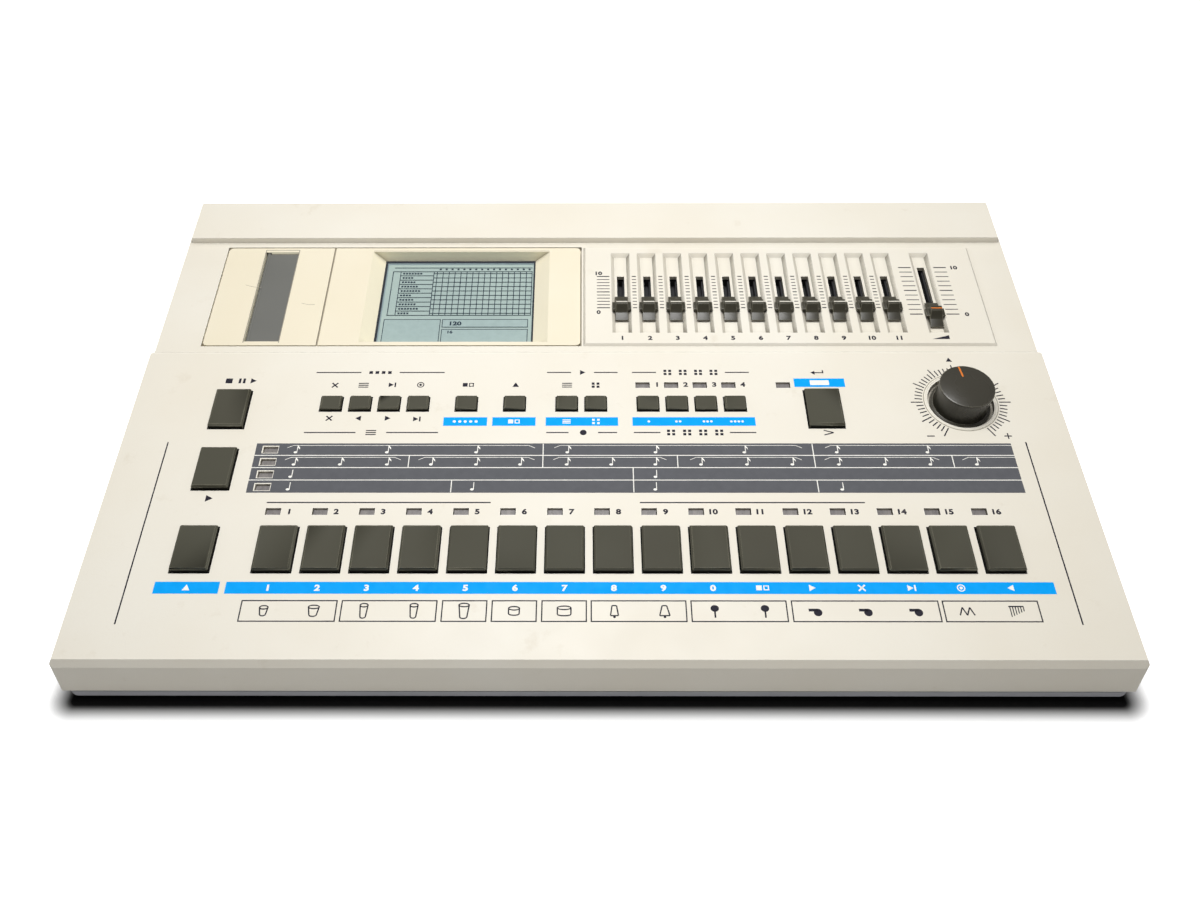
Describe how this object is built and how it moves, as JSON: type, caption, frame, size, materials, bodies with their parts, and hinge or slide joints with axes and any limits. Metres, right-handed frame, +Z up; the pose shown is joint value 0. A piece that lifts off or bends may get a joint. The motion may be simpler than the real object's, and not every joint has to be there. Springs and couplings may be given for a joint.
{
  "type": "drum machine",
  "caption": "Wedge-shaped table-top drum machine with a row of step keys, slide faders, a tempo dial, a display, a cartridge slot and rear jacks.",
  "frame": {"origin": "on the table, under the middle of the case", "axes": "+X to the player's right, +Y away from the player, +Z up"},
  "size_m": [0.38, 0.25, 0.073],
  "materials": {
    "case_plastic": "fine moulded texture, warm ivory",
    "lower_plastic": "fine moulded texture, light grey",
    "escutcheon_plastic": "smooth satin, cream",
    "key_plastic": "satin, dark olive grey",
    "fader_plastic": "satin black",
    "knob_plastic": "satin black",
    "button_plastic": "satin black",
    "flap_plastic": "matt grey",
    "lens_plastic": "smoked grey lens",
    "display_glass": "grey-green liquid crystal display",
    "board_laminate": "green solder mask",
    "component_plastic": "dark moulded",
    "jack_plastic": "black moulded",
    "screw_steel": "zinc plated",
    "foot_rubber": "matt black rubber"
  },
  "bodies": {
    "case": {"upper_case": "case_plastic", "lower_case": "lower_plastic", "display_escutcheon": "escutcheon_plastic", "lcd_module": "display_glass", "led_lenses": "lens_plastic", "key_switches": "component_plastic", "panel_pots": "component_plastic", "circuit_boards": "board_laminate", "line_jacks": "jack_plastic", "rear_sockets": "jack_plastic", "rubber_feet": "foot_rubber", "case_screws": "screw_steel"},
    "step_key_01": {"step_key_01": "key_plastic"},
    "step_key_02": {"step_key_02": "key_plastic"},
    "step_key_03": {"step_key_03": "key_plastic"},
    "step_key_04": {"step_key_04": "key_plastic"},
    "step_key_05": {"step_key_05": "key_plastic"},
    "step_key_06": {"step_key_06": "key_plastic"},
    "step_key_07": {"step_key_07": "key_plastic"},
    "step_key_08": {"step_key_08": "key_plastic"},
    "step_key_09": {"step_key_09": "key_plastic"},
    "step_key_10": {"step_key_10": "key_plastic"},
    "step_key_11": {"step_key_11": "key_plastic"},
    "step_key_12": {"step_key_12": "key_plastic"},
    "step_key_13": {"step_key_13": "key_plastic"},
    "step_key_14": {"step_key_14": "key_plastic"},
    "step_key_15": {"step_key_15": "key_plastic"},
    "step_key_16": {"step_key_16": "key_plastic"},
    "start_key": {"start_key": "key_plastic"},
    "stop_key": {"stop_key": "key_plastic"},
    "shift_key": {"shift_key": "key_plastic"},
    "enter_key": {"enter_key": "key_plastic"},
    "button_01": {"button_01": "key_plastic"},
    "button_02": {"button_02": "key_plastic"},
    "button_03": {"button_03": "key_plastic"},
    "button_04": {"button_04": "key_plastic"},
    "button_05": {"button_05": "key_plastic"},
    "button_06": {"button_06": "key_plastic"},
    "button_07": {"button_07": "key_plastic"},
    "button_08": {"button_08": "key_plastic"},
    "button_09": {"button_09": "key_plastic"},
    "button_10": {"button_10": "key_plastic"},
    "button_11": {"button_11": "key_plastic"},
    "button_12": {"button_12": "key_plastic"},
    "fader_01": {"fader_01": "fader_plastic"},
    "fader_02": {"fader_02": "fader_plastic"},
    "fader_03": {"fader_03": "fader_plastic"},
    "fader_04": {"fader_04": "fader_plastic"},
    "fader_05": {"fader_05": "fader_plastic"},
    "fader_06": {"fader_06": "fader_plastic"},
    "fader_07": {"fader_07": "fader_plastic"},
    "fader_08": {"fader_08": "fader_plastic"},
    "fader_09": {"fader_09": "fader_plastic"},
    "fader_10": {"fader_10": "fader_plastic"},
    "fader_11": {"fader_11": "fader_plastic"},
    "volume_fader": {"volume_fader": "fader_plastic"},
    "tempo_knob": {"tempo_knob": "knob_plastic"},
    "power_button": {"power_button": "button_plastic"},
    "cartridge_flap": {"cartridge_flap": "flap_plastic"},
    "battery_cover": {"battery_cover": "lower_plastic"}
  },
  "joints": [
    {"name": "tempo_knob_turn", "type": "hinge", "parent": "case", "child": "tempo_knob", "pos_m": [0.1486, -0.01082, 0.04535], "axis": [0, -0.2079, 0.9781], "range_deg": [-158, 142]},
    {"name": "cartridge_flap_swing", "type": "hinge", "parent": "case", "child": "cartridge_flap", "pos_m": [-0.14925, 0.05004, 0.05675], "axis": [0, 0.9781, 0.2079], "range_deg": [0, 85], "stiffness_Nm_per_rad": 0.001, "springref_deg": -17.19},
    {"name": "battery_cover_slide", "type": "slide", "parent": "case", "child": "battery_cover", "axis": [1, 0, 0], "range_m": [0, 0.007]},
    {"name": "power_button_press", "type": "slide", "parent": "case", "child": "power_button", "axis": [0, -1, 0], "range_m": [0, 0.0025], "stiffness_N_per_m": 400, "springref_m": -0.001},
    {"name": "volume_fader_slide", "type": "slide", "parent": "case", "child": "volume_fader", "axis": [0, 0.9781, 0.2079], "range_m": [0, 0.0292]},
    {"name": "fader_01_slide", "type": "slide", "parent": "case", "child": "fader_01", "axis": [0, 0.9781, 0.2079], "range_m": [0, 0.0196]},
    {"name": "fader_02_slide", "type": "slide", "parent": "case", "child": "fader_02", "axis": [0, 0.9781, 0.2079], "range_m": [0, 0.0196]},
    {"name": "fader_03_slide", "type": "slide", "parent": "case", "child": "fader_03", "axis": [0, 0.9781, 0.2079], "range_m": [0, 0.0196]},
    {"name": "fader_04_slide", "type": "slide", "parent": "case", "child": "fader_04", "axis": [0, 0.9781, 0.2079], "range_m": [0, 0.0196]},
    {"name": "fader_05_slide", "type": "slide", "parent": "case", "child": "fader_05", "axis": [0, 0.9781, 0.2079], "range_m": [0, 0.0196]},
    {"name": "fader_06_slide", "type": "slide", "parent": "case", "child": "fader_06", "axis": [0, 0.9781, 0.2079], "range_m": [0, 0.0196]},
    {"name": "fader_07_slide", "type": "slide", "parent": "case", "child": "fader_07", "axis": [0, 0.9781, 0.2079], "range_m": [0, 0.0196]},
    {"name": "fader_08_slide", "type": "slide", "parent": "case", "child": "fader_08", "axis": [0, 0.9781, 0.2079], "range_m": [0, 0.0196]},
    {"name": "fader_09_slide", "type": "slide", "parent": "case", "child": "fader_09", "axis": [0, 0.9781, 0.2079], "range_m": [0, 0.0196]},
    {"name": "fader_10_slide", "type": "slide", "parent": "case", "child": "fader_10", "axis": [0, 0.9781, 0.2079], "range_m": [0, 0.0196]},
    {"name": "fader_11_slide", "type": "slide", "parent": "case", "child": "fader_11", "axis": [0, 0.9781, 0.2079], "range_m": [0, 0.0196]},
    {"name": "start_key_press", "type": "slide", "parent": "case", "child": "start_key", "axis": [0, 0.2079, -0.9781], "range_m": [0, 0.0009], "stiffness_N_per_m": 800, "springref_m": -0.0005},
    {"name": "stop_key_press", "type": "slide", "parent": "case", "child": "stop_key", "axis": [0, 0.2079, -0.9781], "range_m": [0, 0.0009], "stiffness_N_per_m": 800, "springref_m": -0.0005},
    {"name": "shift_key_press", "type": "slide", "parent": "case", "child": "shift_key", "axis": [0, 0.2079, -0.9781], "range_m": [0, 0.0009], "stiffness_N_per_m": 800, "springref_m": -0.0005},
    {"name": "enter_key_press", "type": "slide", "parent": "case", "child": "enter_key", "axis": [0, 0.2079, -0.9781], "range_m": [0, 0.0009], "stiffness_N_per_m": 800, "springref_m": -0.0005},
    {"name": "button_01_press", "type": "slide", "parent": "case", "child": "button_01", "axis": [0, 0.2079, -0.9781], "range_m": [0, 0.0009], "stiffness_N_per_m": 800, "springref_m": -0.0005},
    {"name": "button_02_press", "type": "slide", "parent": "case", "child": "button_02", "axis": [0, 0.2079, -0.9781], "range_m": [0, 0.0009], "stiffness_N_per_m": 800, "springref_m": -0.0005},
    {"name": "button_03_press", "type": "slide", "parent": "case", "child": "button_03", "axis": [0, 0.2079, -0.9781], "range_m": [0, 0.0009], "stiffness_N_per_m": 800, "springref_m": -0.0005},
    {"name": "button_04_press", "type": "slide", "parent": "case", "child": "button_04", "axis": [0, 0.2079, -0.9781], "range_m": [0, 0.0009], "stiffness_N_per_m": 800, "springref_m": -0.0005},
    {"name": "button_05_press", "type": "slide", "parent": "case", "child": "button_05", "axis": [0, 0.2079, -0.9781], "range_m": [0, 0.0009], "stiffness_N_per_m": 800, "springref_m": -0.0005},
    {"name": "button_06_press", "type": "slide", "parent": "case", "child": "button_06", "axis": [0, 0.2079, -0.9781], "range_m": [0, 0.0009], "stiffness_N_per_m": 800, "springref_m": -0.0005},
    {"name": "button_07_press", "type": "slide", "parent": "case", "child": "button_07", "axis": [0, 0.2079, -0.9781], "range_m": [0, 0.0009], "stiffness_N_per_m": 800, "springref_m": -0.0005},
    {"name": "button_08_press", "type": "slide", "parent": "case", "child": "button_08", "axis": [0, 0.2079, -0.9781], "range_m": [0, 0.0009], "stiffness_N_per_m": 800, "springref_m": -0.0005},
    {"name": "button_09_press", "type": "slide", "parent": "case", "child": "button_09", "axis": [0, 0.2079, -0.9781], "range_m": [0, 0.0009], "stiffness_N_per_m": 800, "springref_m": -0.0005},
    {"name": "button_10_press", "type": "slide", "parent": "case", "child": "button_10", "axis": [0, 0.2079, -0.9781], "range_m": [0, 0.0009], "stiffness_N_per_m": 800, "springref_m": -0.0005},
    {"name": "button_11_press", "type": "slide", "parent": "case", "child": "button_11", "axis": [0, 0.2079, -0.9781], "range_m": [0, 0.0009], "stiffness_N_per_m": 800, "springref_m": -0.0005},
    {"name": "button_12_press", "type": "slide", "parent": "case", "child": "button_12", "axis": [0, 0.2079, -0.9781], "range_m": [0, 0.0009], "stiffness_N_per_m": 800, "springref_m": -0.0005},
    {"name": "step_key_01_press", "type": "slide", "parent": "case", "child": "step_key_01", "axis": [0, 0.2079, -0.9781], "range_m": [0, 0.0009], "stiffness_N_per_m": 800, "springref_m": -0.0005},
    {"name": "step_key_02_press", "type": "slide", "parent": "case", "child": "step_key_02", "axis": [0, 0.2079, -0.9781], "range_m": [0, 0.0009], "stiffness_N_per_m": 800, "springref_m": -0.0005},
    {"name": "step_key_03_press", "type": "slide", "parent": "case", "child": "step_key_03", "axis": [0, 0.2079, -0.9781], "range_m": [0, 0.0009], "stiffness_N_per_m": 800, "springref_m": -0.0005},
    {"name": "step_key_04_press", "type": "slide", "parent": "case", "child": "step_key_04", "axis": [0, 0.2079, -0.9781], "range_m": [0, 0.0009], "stiffness_N_per_m": 800, "springref_m": -0.0005},
    {"name": "step_key_05_press", "type": "slide", "parent": "case", "child": "step_key_05", "axis": [0, 0.2079, -0.9781], "range_m": [0, 0.0009], "stiffness_N_per_m": 800, "springref_m": -0.0005},
    {"name": "step_key_06_press", "type": "slide", "parent": "case", "child": "step_key_06", "axis": [0, 0.2079, -0.9781], "range_m": [0, 0.0009], "stiffness_N_per_m": 800, "springref_m": -0.0005},
    {"name": "step_key_07_press", "type": "slide", "parent": "case", "child": "step_key_07", "axis": [0, 0.2079, -0.9781], "range_m": [0, 0.0009], "stiffness_N_per_m": 800, "springref_m": -0.0005},
    {"name": "step_key_08_press", "type": "slide", "parent": "case", "child": "step_key_08", "axis": [0, 0.2079, -0.9781], "range_m": [0, 0.0009], "stiffness_N_per_m": 800, "springref_m": -0.0005},
    {"name": "step_key_09_press", "type": "slide", "parent": "case", "child": "step_key_09", "axis": [0, 0.2079, -0.9781], "range_m": [0, 0.0009], "stiffness_N_per_m": 800, "springref_m": -0.0005},
    {"name": "step_key_10_press", "type": "slide", "parent": "case", "child": "step_key_10", "axis": [0, 0.2079, -0.9781], "range_m": [0, 0.0009], "stiffness_N_per_m": 800, "springref_m": -0.0005},
    {"name": "step_key_11_press", "type": "slide", "parent": "case", "child": "step_key_11", "axis": [0, 0.2079, -0.9781], "range_m": [0, 0.0009], "stiffness_N_per_m": 800, "springref_m": -0.0005},
    {"name": "step_key_12_press", "type": "slide", "parent": "case", "child": "step_key_12", "axis": [0, 0.2079, -0.9781], "range_m": [0, 0.0009], "stiffness_N_per_m": 800, "springref_m": -0.0005},
    {"name": "step_key_13_press", "type": "slide", "parent": "case", "child": "step_key_13", "axis": [0, 0.2079, -0.9781], "range_m": [0, 0.0009], "stiffness_N_per_m": 800, "springref_m": -0.0005},
    {"name": "step_key_14_press", "type": "slide", "parent": "case", "child": "step_key_14", "axis": [0, 0.2079, -0.9781], "range_m": [0, 0.0009], "stiffness_N_per_m": 800, "springref_m": -0.0005},
    {"name": "step_key_15_press", "type": "slide", "parent": "case", "child": "step_key_15", "axis": [0, 0.2079, -0.9781], "range_m": [0, 0.0009], "stiffness_N_per_m": 800, "springref_m": -0.0005},
    {"name": "step_key_16_press", "type": "slide", "parent": "case", "child": "step_key_16", "axis": [0, 0.2079, -0.9781], "range_m": [0, 0.0009], "stiffness_N_per_m": 800, "springref_m": -0.0005}
  ]
}
